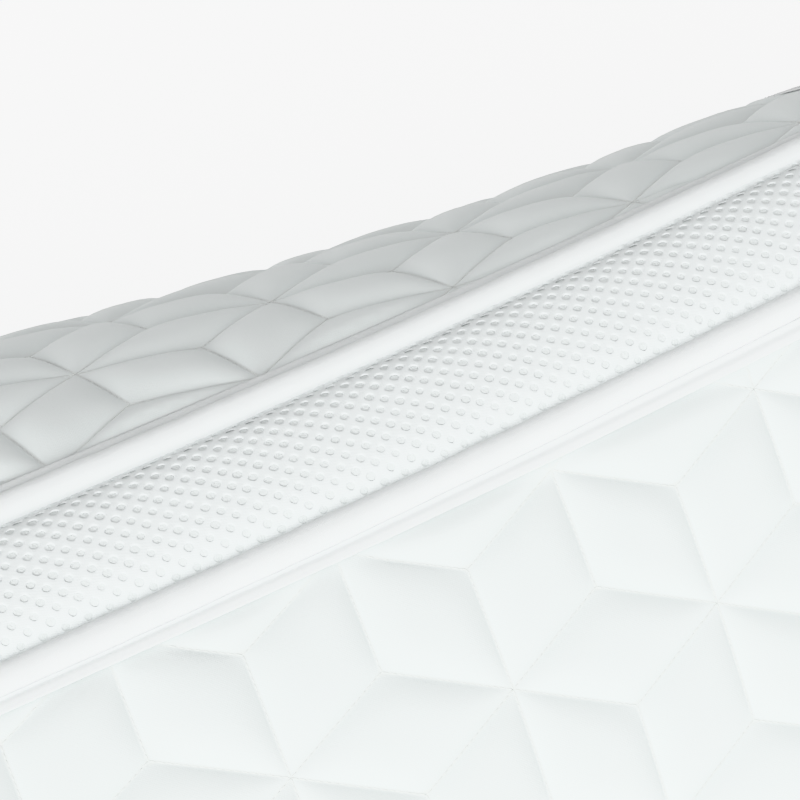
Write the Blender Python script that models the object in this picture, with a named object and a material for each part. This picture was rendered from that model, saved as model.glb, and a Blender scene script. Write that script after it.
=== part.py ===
"""Quilted saddle pad with a breathable mesh spine, standing open like a tent.

Metres, +Z up, +Y towards the horse's head, +X to the horse's right side.
The floor is Z = 0, and the pad is mirrored about X = 0.
"""

import math

import bmesh
import bpy
from mathutils import Matrix, Vector

# ---- driving dimensions -------------------------------------------------------------------------

CLEARANCE = 0.0003  # between pieces that touch

PAD_LENGTH = 0.600  # over the front and rear bindings
SEAM_HEIGHT = 0.385  # centre of the filler cord above the floor, at the lowest point of the topline
TOPLINE_RISE = 0.0069  # how strongly the topline rises to the front and the rear
TOPLINE_REACH = 0.150
FOLD_SHARE = 0.75  # how much of the topline's rise the straight fold axis takes

MESH_WIDTH = 0.050  # along its arch, from seam to seam
MESH_EDGE_SLOPE = math.radians(17)
MESH_THICKNESS = 0.0060
MESH_EDGE_THICKNESS = 0.0025
BACKING_THICKNESS = 0.0008
BACKING_INSET = 0.0025  # the backing stops short of the mesh's edge, so the panels can fold in

GROOVE = 0.0032  # open fold line between the mesh and the seam tape
SEAM_SLOPE = math.radians(25)  # from the mesh's edge down to the cord
CORD_RADIUS = 0.0049
TAPE_THICKNESS = 0.0008
TAPE_LEG = 0.0055  # the flat part of the tape, stitched onto the panel
CORD_TO_PANEL = 0.0004  # the panel's edge stops just short of the cord

PANEL_SLOPE = math.radians(23.0)  # at the seam, halfway along the pad
SLOPE_TWIST = math.radians(18.4)  # steeper at the withers, flatter at the rear
FOOT_SPREAD = 0.268  # from the cord out to the lower edge
SPREAD_TWIST = 0.030
TWIST_REACH = 0.316
CORNER_RADIUS = 0.070

COVER_THICKNESS = 0.0010
WADDING_THICKNESS = 0.0074
WADDING_EDGE_THICKNESS = 0.0030  # pressed flat under the tape and the binding
LINING_THICKNESS = 0.0010
PRESSED_MARGIN = 0.014
FULL_MARGIN = 0.040

BINDING_THICKNESS = 0.0008
BINDING_LEG = 0.009
BINDING_START = -0.0039  # the binding's ends stop short of the fold, just past the cord's centre

WEBBING_THICKNESS = 0.0018
LOOP_CENTRE_Y = 0.0
LOOP_ABOVE_EDGE = 0.045  # middle of the girth loop above the pad's lower edge
LOOP_WEBBING_WIDTH = 0.040
LOOP_GIRTH_WIDTH = 0.100
LOOP_GIRTH_DEPTH = 0.018
LOOP_RAMP = 0.014
LOOP_SEWN_END = 0.020

STRAP_Y = 0.125
STRAP_FOLD_DROP = 0.405  # where the tab folds, measured down the panel from the cord
STRAP_WIDTH = 0.040
STRAP_SEWN_LENGTH = 0.032
STRAP_TAB_LENGTH = 0.095
STRAP_FOLD_GAP = 0.0010
STRAP_RAMP = 0.014
PATCH_WIDTH = 0.036
PATCH_LENGTH = 0.062
PATCH_START = 0.024  # from the fold up to the lower end of the patches
PATCH_THICKNESS = 0.0016

COLUMNS = 18  # cells along the pad
STRAIGHT_ROWS = 12  # cells down the panel, above its rounded corners
CORNER_ROWS = 5
MESH_COLUMNS = 24
MESH_ROWS = 10
BACKING_ROWS = 8
TAPE_STEPS = 10  # round the cord
NOSE_STEPS = 4  # round the edge inside a binding
PATCH_STEPS = 4
TAB_STEPS = 5

# ---- worked out from them -----------------------------------------------------------------------

TAPE_RADIUS = CORD_RADIUS + CLEARANCE + TAPE_THICKNESS
PANEL_EDGE_THICKNESS = (
    COVER_THICKNESS + WADDING_EDGE_THICKNESS + LINING_THICKNESS + 2 * CLEARANCE
)
PANEL_FULL_THICKNESS = COVER_THICKNESS + WADDING_THICKNESS + LINING_THICKNESS + 2 * CLEARANCE
GRIP = PANEL_EDGE_THICKNESS / 2 + CLEARANCE  # half the space inside the tape and the binding
BINDING_REACH = GRIP + BINDING_THICKNESS
PANEL_TOP = CORD_RADIUS + CORD_TO_PANEL  # where the panel starts, measured from the cord
PANEL_END_Y = PAD_LENGTH / 2 - BINDING_REACH
TAPE_END_Y = PANEL_END_Y - BINDING_LEG - 2 * CLEARANCE
ROWS = STRAIGHT_ROWS + CORNER_ROWS

MESH_ARCH_RADIUS = MESH_WIDTH / 2 / MESH_EDGE_SLOPE
MESH_EDGE_X = MESH_ARCH_RADIUS * math.sin(MESH_EDGE_SLOPE)
MESH_EDGE_DROP = MESH_ARCH_RADIUS * (1 - math.cos(MESH_EDGE_SLOPE))
CORD_X = MESH_EDGE_X + (TAPE_RADIUS + GROOVE) * math.cos(SEAM_SLOPE)
CROWN_ABOVE_CORD = (TAPE_RADIUS + GROOVE) * math.sin(SEAM_SLOPE) + MESH_EDGE_DROP


def topline(y):
    """Height that the spine gains towards its ends."""
    return TOPLINE_RISE * (math.hypot(1, y / TOPLINE_REACH) - 1)


# The fold axis lies in the groove. It is straight, so it sits near the top of the curved topline.
FOLD_X = CORD_X - (TAPE_RADIUS + GROOVE / 2) * math.cos(SEAM_SLOPE)
FOLD_Z = (
    SEAM_HEIGHT
    + (TAPE_RADIUS + GROOVE / 2) * math.sin(SEAM_SLOPE)
    + FOLD_SHARE * topline(PAD_LENGTH / 2)
)

# ---- the shape of the pad -----------------------------------------------------------------------


def panel_arc(y):
    """The panel's section at y: slope at the cord, slope at the foot, radius and arc length."""
    twist = math.tanh(y / TWIST_REACH)
    slope = PANEL_SLOPE + SLOPE_TWIST * twist
    spread = FOOT_SPREAD - SPREAD_TWIST * twist
    drop = SEAM_HEIGHT + topline(y) - BINDING_REACH
    chord_slope = math.atan2(drop, spread)
    half_turn = chord_slope - slope
    radius = math.hypot(drop, spread) / 2 / math.sin(half_turn)
    return slope, slope + 2 * half_turn, radius, 2 * half_turn * radius


def panel_point(y, drop, lift=0.0):
    """A point of the right panel: drop metres down from the cord, lift metres outside its middle."""
    slope, _, radius, _ = panel_arc(y)
    x = CORD_X
    z = SEAM_HEIGHT + topline(y)
    if drop < 0:
        x += drop * math.cos(slope)
        z -= drop * math.sin(slope)
        turned = slope
    else:
        turned = slope + drop / radius
        x += radius * (math.sin(turned) - math.sin(slope))
        z -= radius * (math.cos(slope) - math.cos(turned))
    return Vector((x + lift * math.sin(turned), y, z + lift * math.cos(turned)))


def panel_axes(y, drop):
    """Unit vectors on the right panel: forwards along it, down it, and out of it."""
    step = 0.001
    forward = panel_point(y + step, drop) - panel_point(y - step, drop)
    down = panel_point(y, drop + step) - panel_point(y, drop - step)
    out = down.cross(forward).normalized()
    if out.x < 0:
        out.negate()
    forward.normalize()
    return forward, out.cross(forward).normalized() * -1, out


def spine_point(y, across, lift=0.0):
    """A point of the mesh strip, across metres along its arch from the middle."""
    angle = across / MESH_ARCH_RADIUS
    reach = MESH_ARCH_RADIUS + lift
    crown = SEAM_HEIGHT + topline(y) + CROWN_ABOVE_CORD
    return Vector((reach * math.sin(angle), y, crown - MESH_ARCH_RADIUS + reach * math.cos(angle)))


def panel_column_y(column, inset=0.0):
    """Where a column of the panel's grid lies, with a narrow first and last cell."""
    end = PANEL_END_Y - inset
    if column == 0:
        return -end
    if column == COLUMNS:
        return end
    inner = end - PRESSED_MARGIN
    return inner * (2 * (column - 1) / (COLUMNS - 2) - 1)


def corner_turn(row):
    """How far a row of the panel's grid has come round the rounded lower corner."""
    return max(0, row - STRAIGHT_ROWS) / CORNER_ROWS * math.pi / 2


def panel_spot(column, row):
    """The y and the drop of a corner of the panel's grid."""
    turn = corner_turn(row)
    y = panel_column_y(column, CORNER_RADIUS * (1 - math.cos(turn)))
    length = panel_arc(y)[3]
    if row == 0:
        return y, PANEL_TOP
    if row >= STRAIGHT_ROWS:
        return y, length - CORNER_RADIUS * (1 - math.sin(turn))
    start = PANEL_TOP + PRESSED_MARGIN
    share = (row - 1) / (STRAIGHT_ROWS - 1)
    return y, start + share * (length - CORNER_RADIUS - start)


def edge_distance(y, drop):
    """How far a place on the panel is from its nearest edge, rounded corners included."""
    length = panel_arc(y)[3]
    past_y = abs(y) - (PANEL_END_Y - CORNER_RADIUS)
    past_drop = drop - (length - CORNER_RADIUS)
    if past_y > 0 and past_drop > 0:
        return CORNER_RADIUS - math.hypot(past_y, past_drop)
    return min(drop - PANEL_TOP, length - drop, PANEL_END_Y - abs(y))


def panel_thickness(y, drop):
    """The panel is pressed thin along its edges and full inside."""
    edge = edge_distance(y, drop)
    share = (edge - PRESSED_MARGIN) / (FULL_MARGIN - PRESSED_MARGIN)
    share = min(1.0, max(0.0, share))
    return PANEL_EDGE_THICKNESS + (PANEL_FULL_THICKNESS - PANEL_EDGE_THICKNESS) * share


def mesh_thickness(across):
    share = 1 - (2 * across / MESH_WIDTH) ** 4
    return MESH_EDGE_THICKNESS + (MESH_THICKNESS - MESH_EDGE_THICKNESS) * share


def wrap_point(part, layer, half_gap, thickness, leg):
    """A U-shaped section round an edge, from one leg's end round a rounded nose to the other's."""
    reach = half_gap + layer * thickness
    if part == 0:
        return -leg, reach
    if part == NOSE_STEPS + 2:
        return -leg, -reach
    angle = math.pi / 2 - (part - 1) * math.pi / NOSE_STEPS
    return reach * math.cos(angle), reach * math.sin(angle)


# ---- making objects -----------------------------------------------------------------------------


def clear_scene():
    for old in list(bpy.data.objects):
        bpy.data.objects.remove(old, do_unlink=True)


def collection(name):
    made = bpy.data.collections.new(name)
    bpy.context.scene.collection.children.link(made)
    return made


def finish(name, colour, roughness):
    made = bpy.data.materials.new(name)
    made.use_nodes = True
    shader = made.node_tree.nodes["Principled BSDF"]
    shader.inputs["Base Color"].default_value = (*colour, 1)
    shader.inputs["Roughness"].default_value = roughness
    shader.inputs["Metallic"].default_value = 0.0
    return made


def slab(name, columns, rows, place, colour, roughness, parent):
    """A closed solid from a grid: place(column, row, layer) gives a corner of its lower or upper face."""
    shape = bmesh.new()
    bmesh.ops.create_grid(shape, x_segments=columns, y_segments=rows, size=1)
    lower = set(shape.verts)
    bmesh.ops.extrude_face_region(shape, geom=shape.faces[:], use_keep_orig=True)
    for corner in shape.verts:
        column = round((corner.co.x + 1) / 2 * columns)
        row = round((corner.co.y + 1) / 2 * rows)
        corner.co = place(column, row, 0 if corner in lower else 1)
    bmesh.ops.recalc_face_normals(shape, faces=shape.faces[:])
    if shape.calc_volume(signed=True) < 0:
        bmesh.ops.reverse_faces(shape, faces=shape.faces[:])
    return solid(name, shape, colour, roughness, parent)


def solid(name, shape, colour, roughness, parent):
    data = bpy.data.meshes.new(name)
    shape.to_mesh(data)
    shape.free()
    made = bpy.data.objects.new(name, data)
    data.materials.append(finish(name, colour, roughness))
    PAD.objects.link(made)
    if parent is not None:
        made.parent = parent
        made.matrix_parent_inverse = parent.matrix_world.inverted()
    return made


def pivot(name, place, parent=None):
    """An empty on a joint's axis."""
    made = bpy.data.objects.new(name, None)
    made.empty_display_size = 0.02
    PAD.objects.link(made)
    made.location = place
    if parent is not None:
        made.parent = parent
        made.matrix_parent_inverse = parent.matrix_world.inverted()
    bpy.context.view_layer.update()
    return made


def mirrored(place, side):
    """The same place on the left or the right half of the pad."""
    return lambda column, row, layer: Matrix.Scale(side, 4, (1, 0, 0)) @ place(column, row, layer)


# ---- the spine ----------------------------------------------------------------------------------


def spine_mesh():
    """The spacer mesh strip that runs along the horse's spine."""

    def place(column, row, layer):
        y = (2 * column / MESH_COLUMNS - 1) * PANEL_END_Y
        across = (row / MESH_ROWS - 0.5) * MESH_WIDTH
        return spine_point(y, across, (layer - 0.5) * mesh_thickness(across))

    slab("spine_mesh", MESH_COLUMNS, MESH_ROWS, place, (0.86, 0.87, 0.88), 0.85, None)


def spine_backing():
    """The knitted backing under the mesh, next to the horse."""

    def place(column, row, layer):
        y = (2 * column / MESH_COLUMNS - 1) * PANEL_END_Y
        across = (row / BACKING_ROWS - 0.5) * (MESH_WIDTH - 2 * BACKING_INSET)
        top = -mesh_thickness(across) / 2 - 2 * CLEARANCE
        return spine_point(y, across, top - (1 - layer) * BACKING_THICKNESS)

    slab("spine_backing", MESH_COLUMNS, BACKING_ROWS, place, (0.80, 0.81, 0.82), 0.90, None)


def spine_binding(name, end):
    """The binding folded over one end of the mesh and its backing."""

    def place(column, row, layer):
        across = (column / MESH_ROWS - 0.5) * MESH_WIDTH
        half = mesh_thickness(across) / 2 + CLEARANCE
        under = BACKING_THICKNESS + 3 * CLEARANCE
        out, up = wrap_point(row, layer, half + under / 2, BINDING_THICKNESS, BINDING_LEG)
        return spine_point(end * (PANEL_END_Y + out), across, up - under / 2)

    slab(name, MESH_ROWS, NOSE_STEPS + 2, place, (0.90, 0.90, 0.91), 0.75, None)


# ---- the panels ---------------------------------------------------------------------------------


def panel_layer(name, side, low, high, colour, roughness, parent):
    """One layer of a panel, between two heights that low and high give for a thickness."""

    def place(column, row, layer):
        y, drop = panel_spot(column, row)
        thickness = panel_thickness(y, drop)
        return panel_point(y, drop, high(thickness) if layer else low(thickness))

    slab(name, COLUMNS, ROWS, mirrored(place, side), colour, roughness, parent)


def quilted_cover(hand, side, parent):
    def low(thickness):
        return thickness / 2 - COVER_THICKNESS

    def high(thickness):
        return thickness / 2

    panel_layer("quilted_cover_" + hand, side, low, high, (0.90, 0.90, 0.91), 0.80, parent)


def wadding(hand, side, parent):
    def low(thickness):
        return LINING_THICKNESS + CLEARANCE - thickness / 2

    def high(thickness):
        return thickness / 2 - COVER_THICKNESS - CLEARANCE

    panel_layer("wadding_" + hand, side, low, high, (0.93, 0.93, 0.90), 0.95, parent)


def lining(hand, side, parent):
    def low(thickness):
        return -thickness / 2

    def high(thickness):
        return LINING_THICKNESS - thickness / 2

    panel_layer("lining_" + hand, side, low, high, (0.84, 0.84, 0.85), 0.88, parent)


def tape_columns():
    inner = [panel_column_y(column) for column in range(1, COLUMNS)]
    return [-TAPE_END_Y, *inner, TAPE_END_Y]


def seam_tape(hand, side, parent):
    """A strip folded round the filler cord, with both its legs stitched to the panel's edge."""
    ends = tape_columns()
    inner_radius = CORD_RADIUS + CLEARANCE
    mouth = math.asin(GRIP / inner_radius)

    def place(column, row, layer):
        y = ends[column]
        if row in (0, TAPE_STEPS + 2):
            along = inner_radius * math.cos(mouth) + TAPE_LEG
            up = GRIP + layer * TAPE_THICKNESS
            return panel_point(y, along, up if row == 0 else -up)
        angle = mouth + (row - 1) / TAPE_STEPS * 2 * (math.pi - mouth)
        radius = inner_radius + layer * TAPE_THICKNESS
        slope = panel_arc(y)[0]
        along = Vector((math.cos(slope), 0, -math.sin(slope)))
        out = Vector((math.sin(slope), 0, math.cos(slope)))
        centre = panel_point(y, 0)
        return centre + along * radius * math.cos(angle) + out * radius * math.sin(angle)

    slab(
        "seam_tape_" + hand,
        len(ends) - 1,
        TAPE_STEPS + 2,
        mirrored(place, side),
        (0.93, 0.93, 0.94),
        0.60,
        parent,
    )


def filler_cord(hand, side, parent):
    """The round cord inside the seam tape."""
    path = bpy.data.curves.new("filler_cord_" + hand, "CURVE")
    path.dimensions = "3D"
    path.bevel_depth = CORD_RADIUS
    path.bevel_resolution = 2
    path.use_fill_caps = True
    places = [panel_point(y, 0) for y in tape_columns()]
    line = path.splines.new("POLY")
    line.points.add(len(places) - 1)
    for point, place in zip(line.points, places):
        point.co = (side * place.x, place.y, place.z, 1)
    made = bpy.data.objects.new("filler_cord_" + hand, path)
    path.materials.append(finish("filler_cord_" + hand, (0.90, 0.89, 0.86), 0.90))
    PAD.objects.link(made)
    made.parent = parent
    made.matrix_parent_inverse = parent.matrix_world.inverted()


def edge_path():
    """Round the panel's free edge: (y, drop, direction out of the edge as an angle from forwards)."""
    front = [(*panel_spot(COLUMNS, row), corner_turn(row)) for row in range(1, ROWS + 1)]
    bottom = [(*panel_spot(column, ROWS), math.pi / 2) for column in range(COLUMNS - 1, 0, -1)]
    rear = [(*panel_spot(0, row), math.pi - corner_turn(row)) for row in range(ROWS, 0, -1)]
    front_start = (PANEL_END_Y, BINDING_START, 0.0)
    rear_end = (-PANEL_END_Y, BINDING_START, math.pi)
    return [front_start, *front, *bottom, *rear, rear_end]


def edge_binding(hand, side, parent):
    """The binding folded over the panel's front, lower and rear edges."""
    path = edge_path()

    def place(column, row, layer):
        y, drop, turn = path[column]
        forward, down, out = panel_axes(y, max(drop, CORD_TO_PANEL))
        outward = forward * math.cos(turn) + down * math.sin(turn)
        along, up = wrap_point(row, layer, GRIP, BINDING_THICKNESS, BINDING_LEG)
        return panel_point(y, drop) + outward * along + out * up

    slab(
        "edge_binding_" + hand,
        len(path) - 1,
        NOSE_STEPS + 2,
        mirrored(place, side),
        (0.92, 0.92, 0.93),
        0.70,
        parent,
    )


# ---- webbing on the panels ----------------------------------------------------------------------


def girth_loop(hand, side, parent):
    """A webbing band sewn down at both ends, which the girth passes behind."""
    drop = panel_arc(LOOP_CENTRE_Y)[3] - LOOP_ABOVE_EDGE
    base = PANEL_FULL_THICKNESS / 2 + CLEARANCE
    forward, down, out = panel_axes(LOOP_CENTRE_Y, drop)
    middle = panel_point(LOOP_CENTRE_Y, drop, base + LOOP_GIRTH_DEPTH)
    half = LOOP_GIRTH_WIDTH / 2
    foot = half + LOOP_RAMP
    end = foot + LOOP_SEWN_END
    stations = [-end, -foot, -half, half, foot, end]

    def place(column, row, layer):
        along = stations[column]
        across = (row / 2 - 0.5) * LOOP_WEBBING_WIDTH
        thick = layer * WEBBING_THICKNESS
        if column in (2, 3):
            return middle + forward * along + down * across + out * thick
        return panel_point(LOOP_CENTRE_Y + along, drop + across, base + thick)

    slab(
        "girth_loop_" + hand,
        len(stations) - 1,
        2,
        mirrored(place, side),
        (0.88, 0.88, 0.89),
        0.65,
        parent,
    )


def strap_piece(name, side, width, stations, thickness, colour, roughness, parent):
    """A strip on the panel; stations are (drop, height of its inner face above the panel)."""
    base = PANEL_FULL_THICKNESS / 2

    def place(column, row, layer):
        drop, height = stations[row]
        y = STRAP_Y + (column / 2 - 0.5) * width
        return panel_point(y, drop, base + height + layer * thickness)

    slab(name, 2, len(stations) - 1, mirrored(place, side), colour, roughness, parent)


def strip_stations(start, length, height, steps):
    """Even steps up the panel from a start, all at one height."""
    return [(start - step / steps * length, height) for step in range(steps + 1)]


def billet_strap(hand, side, panel_pivot):
    """A tab that folds up from its sewn end and closes on hook-and-loop patches."""
    webbing = (0.88, 0.88, 0.89)
    patch = (0.80, 0.80, 0.81)
    loop_height = CLEARANCE
    hook_height = loop_height + PATCH_THICKNESS + CLEARANCE
    tab_height = hook_height + PATCH_THICKNESS + CLEARANCE

    sewn_end = STRAP_FOLD_DROP + CLEARANCE + STRAP_SEWN_LENGTH
    sewn = strip_stations(sewn_end, STRAP_SEWN_LENGTH, CLEARANCE, 1)
    strap_piece(
        "billet_strap_base_" + hand, side, STRAP_WIDTH, sewn, WEBBING_THICKNESS, webbing, 0.65, panel_pivot
    )
    patch_start = STRAP_FOLD_DROP - PATCH_START
    loop_stations = strip_stations(patch_start, PATCH_LENGTH, loop_height, PATCH_STEPS)
    strap_piece(
        "loop_patch_" + hand, side, PATCH_WIDTH, loop_stations, PATCH_THICKNESS, patch, 0.95, panel_pivot
    )

    place, _ = strap_axis()
    tab_pivot = pivot("strap_fold_" + hand, (side * place.x, place.y, place.z), panel_pivot)
    hook_stations = strip_stations(patch_start, PATCH_LENGTH, hook_height, PATCH_STEPS)
    strap_piece(
        "hook_patch_" + hand, side, PATCH_WIDTH, hook_stations, PATCH_THICKNESS, patch, 0.95, tab_pivot
    )
    fold_end = STRAP_FOLD_DROP - STRAP_FOLD_GAP
    flat_length = STRAP_TAB_LENGTH - STRAP_RAMP
    flat_part = strip_stations(fold_end - STRAP_RAMP, flat_length, tab_height, TAB_STEPS)
    tab = [(fold_end, CLEARANCE), *flat_part]
    strap_piece(
        "billet_strap_tab_" + hand, side, STRAP_WIDTH, tab, WEBBING_THICKNESS, webbing, 0.65, tab_pivot
    )


def strap_axis():
    """The tab folds about a line on the outer face of the sewn webbing."""
    lift = PANEL_FULL_THICKNESS / 2 + CLEARANCE + WEBBING_THICKNESS
    place = panel_point(STRAP_Y, STRAP_FOLD_DROP, lift)
    forward, _, _ = panel_axes(STRAP_Y, STRAP_FOLD_DROP)
    return place, forward


# ---- the pad ------------------------------------------------------------------------------------


def panel(hand, side):
    """Everything that folds with one panel."""
    fold = pivot("panel_fold_" + hand, (side * FOLD_X, 0, FOLD_Z))
    for make in (
        quilted_cover,
        wadding,
        lining,
        seam_tape,
        filler_cord,
        edge_binding,
        girth_loop,
        billet_strap,
    ):
        make(hand, side, fold)


clear_scene()
PAD = collection("saddle_pad")
spine_mesh()
spine_backing()
spine_binding("spine_binding_front", 1)
spine_binding("spine_binding_rear", -1)
panel("left", -1)
panel("right", 1)
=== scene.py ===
import math

import bmesh
import bpy
import numpy as np
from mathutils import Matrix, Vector


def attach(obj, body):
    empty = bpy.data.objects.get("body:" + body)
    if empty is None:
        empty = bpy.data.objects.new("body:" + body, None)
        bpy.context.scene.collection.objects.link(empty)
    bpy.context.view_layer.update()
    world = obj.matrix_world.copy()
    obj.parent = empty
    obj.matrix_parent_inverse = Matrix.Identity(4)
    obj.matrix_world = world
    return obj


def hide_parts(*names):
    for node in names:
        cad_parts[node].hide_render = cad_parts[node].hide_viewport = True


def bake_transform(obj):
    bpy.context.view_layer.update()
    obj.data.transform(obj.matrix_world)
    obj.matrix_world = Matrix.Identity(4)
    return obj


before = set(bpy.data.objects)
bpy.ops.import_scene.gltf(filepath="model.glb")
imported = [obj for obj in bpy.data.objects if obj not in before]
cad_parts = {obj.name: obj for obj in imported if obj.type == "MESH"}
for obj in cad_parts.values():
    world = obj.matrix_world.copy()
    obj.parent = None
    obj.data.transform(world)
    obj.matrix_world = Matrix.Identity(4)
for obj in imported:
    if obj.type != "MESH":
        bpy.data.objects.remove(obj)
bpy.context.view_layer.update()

# ---- sizes of the pad, in metres ------------------------------------------------------------------

CLEARANCE = 0.0003
PAD_LENGTH = 0.600
SEAM_HEIGHT = 0.385
TOPLINE_RISE = 0.0069
TOPLINE_REACH = 0.150

MESH_WIDTH = 0.050
MESH_EDGE_SLOPE = math.radians(17)
MESH_THICKNESS = 0.0060
MESH_ROLL_DEPTH = 0.0034  # its upper face has rolled down this far, this far from the middle
MESH_ROLL_REACH = 0.0262
CORE_HALF_WIDTH = 0.0248
BACKING_THICKNESS = 0.0008
BACKING_WIDTH = 0.045
BACKING_BELOW = 0.0006  # how far the backing's upper face lies under the mesh

GROOVE = 0.0032
SEAM_SLOPE = math.radians(25)
CORD_RADIUS = 0.0049
TAPE_THICKNESS = 0.0008
TAPE_LEG = 0.0085

PANEL_SLOPE = math.radians(23.0)
SLOPE_TWIST = math.radians(18.4)
FOOT_SPREAD = 0.268
SPREAD_TWIST = 0.030
TWIST_REACH = 0.316
CORNER_RADIUS = 0.070
HALF_PRESSED = 0.0028
CLOTH = 0.0010

BINDING_THICKNESS = 0.0008
BINDING_LEG = 0.009
BINDING_STITCH_INSET = 0.0018

WEBBING_THICKNESS = 0.0018
WEBBING_STITCH_INSET = 0.004
LOOP_ABOVE_EDGE = 0.045
LOOP_WEBBING_WIDTH = 0.040
LOOP_GIRTH_WIDTH = 0.100
LOOP_GIRTH_DEPTH = 0.018
LOOP_RAMP = 0.014
LOOP_SEWN_END = 0.020

STRAP_Y = 0.125
STRAP_FOLD_DROP = 0.405
STRAP_WIDTH = 0.040
STRAP_SEWN_LENGTH = 0.032
STRAP_TAB_LENGTH = 0.095
STRAP_FOLD_GAP = 0.0010
STRAP_RAMP = 0.014
PATCH_WIDTH = 0.036
PATCH_LENGTH = 0.062
PATCH_START = 0.024
PATCH_THICKNESS = 0.0016

TAPE_RADIUS = CORD_RADIUS + CLEARANCE + TAPE_THICKNESS
GRIP = HALF_PRESSED + CLEARANCE
BINDING_REACH = GRIP + BINDING_THICKNESS
PANEL_TOP = CORD_RADIUS + 0.0004
PANEL_END_Y = PAD_LENGTH / 2 - BINDING_REACH
TAPE_END_Y = PANEL_END_Y - BINDING_LEG - 2 * CLEARANCE
WEBBING_BASE = 0.0055  # where webbing lies on the quilting, off the panel's middle
SEWN_UNDER = 0.8 * CORD_RADIUS  # how far the panel's edges run on past the cord's middle, under the tape

MESH_ARCH_RADIUS = MESH_WIDTH / 2 / MESH_EDGE_SLOPE
MESH_EDGE_X = MESH_ARCH_RADIUS * math.sin(MESH_EDGE_SLOPE)
MESH_EDGE_DROP = MESH_ARCH_RADIUS * (1 - math.cos(MESH_EDGE_SLOPE))
CORD_X = MESH_EDGE_X + (TAPE_RADIUS + GROOVE) * math.cos(SEAM_SLOPE)
CROWN_ABOVE_CORD = (TAPE_RADIUS + GROOVE) * math.sin(SEAM_SLOPE) + MESH_EDGE_DROP

# the quilting: tumbling blocks, turned a little from the seam, by their edges' (y, drop)
BLOCK_EDGE = 0.050
DOWN = np.array([-0.0050, 0.0463])
RISING = np.array([0.0479, -0.0198])
FALLING = DOWN + RISING
ARMS = (DOWN, FALLING, RISING, -DOWN, -FALLING, -RISING)  # the stitch lines that leave a six-way corner
WIDE = DOWN + FALLING  # from one six-way corner to the next ones
TALL = DOWN - RISING
MOST_BLOCKS = 12  # more than the panel holds either way from its first block
BLOCK_START = {1: np.array([0.0376, 0.0152]), -1: np.array([-0.0336, 0.0165])}
PUFF = 0.0050
VALLEY = 0.0011
LINING_PUFF = 0.0026
LINING_VALLEY = 0.0020
QUILT_STITCH = 0.0029
SEAM_STITCH = (0.0030, 0.0023)  # from one stitch to the next, and a stitch's own length
BINDING_STITCH = (0.0032, 0.0024)
SEAM_CREASE = 0.0008  # how deep the stitching pulls the tape in beside its cord

# the spacer mesh's holes, staggered
HOLE_PITCH_Y = 0.0087
HOLE_PITCH_X = 0.0075
HOLE_RADIUS = 0.00155
KNIT_DEPTH = 0.0005
KNIT_CUT = 0.0244  # the knit moves with the spine up to here, between two rows of holes
KNIT_REACH = 0.0296  # and its rolled edge ends here, sewn in under the seam tape
KNIT_SEWN = (-0.0054, 0.0008)  # which is this drop and lift from the cord's middle

SIDES = (("left", -1), ("right", 1))

# ---- the shape of the pad -------------------------------------------------------------------------


def topline(y):
    """How much higher the seam runs at y than in the middle of the pad."""
    return TOPLINE_RISE * (np.hypot(1, y / TOPLINE_REACH) - 1)


def panel_arc(y):
    """Slope at the cord, radius and arc length of the panel's section at y."""
    twist = np.tanh(y / TWIST_REACH)
    slope = PANEL_SLOPE + SLOPE_TWIST * twist
    spread = FOOT_SPREAD - SPREAD_TWIST * twist
    drop = SEAM_HEIGHT + topline(y) - BINDING_REACH
    half_turn = np.arctan2(drop, spread) - slope
    radius = np.hypot(drop, spread) / 2 / np.sin(half_turn)
    return slope, radius, 2 * half_turn * radius


def panel_place(y, drop, lift, side):
    """Points of a panel: drop down from the cord, lift outside its middle."""
    y, drop, lift = np.broadcast_arrays(*(np.asarray(v, float) for v in (y, drop, lift)))
    slope, radius, _ = panel_arc(y)
    curved = np.maximum(drop, 0)
    straight = np.minimum(drop, 0)
    turned = slope + curved / radius
    x = CORD_X + straight * np.cos(slope) + radius * (np.sin(turned) - np.sin(slope))
    z = SEAM_HEIGHT + topline(y) - straight * np.sin(slope)
    z = z - radius * (np.cos(slope) - np.cos(turned))
    return np.stack([side * (x + lift * np.sin(turned)), y, z + lift * np.cos(turned)], -1)


def panel_axes(y, drop, side):
    """Unit vectors on a panel: forwards, down and outwards."""
    step = 0.0005
    forward = panel_place(y + step, drop, 0, side) - panel_place(y - step, drop, 0, side)
    down = panel_place(y, drop + step, 0, side) - panel_place(y, drop - step, 0, side)
    out = np.cross(forward, down) * side
    out = out * np.sign(out[..., 0:1]) * side
    forward, out = unit(forward), unit(out)
    down = unit(down - forward * (down * forward).sum(-1, keepdims=True))
    return forward, down, out


def unit(v):
    """Each vector at length one."""
    return v / np.linalg.norm(v, axis=-1, keepdims=True)


def spine_place(y, across, lift):
    """Points of the arched spine: across from its middle, lift outside its middle surface."""
    y, across, lift = np.broadcast_arrays(*(np.asarray(v, float) for v in (y, across, lift)))
    angle = across / MESH_ARCH_RADIUS
    reach = MESH_ARCH_RADIUS + lift
    crown = SEAM_HEIGHT + topline(y) + CROWN_ABOVE_CORD
    return np.stack([reach * np.sin(angle), y, crown - MESH_ARCH_RADIUS + reach * np.cos(angle)], -1)


def smooth(x, low=0.0, high=1.0):
    """An eased step from 0 at low to 1 at high."""
    t = np.clip((np.asarray(x, float) - low) / (high - low), 0, 1)
    return t * t * (3 - 2 * t)


def run_along(path):
    """How far each point lies along a path of points."""
    return np.concatenate([[0], np.cumsum(np.linalg.norm(np.diff(path, axis=0), axis=1))])


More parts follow.
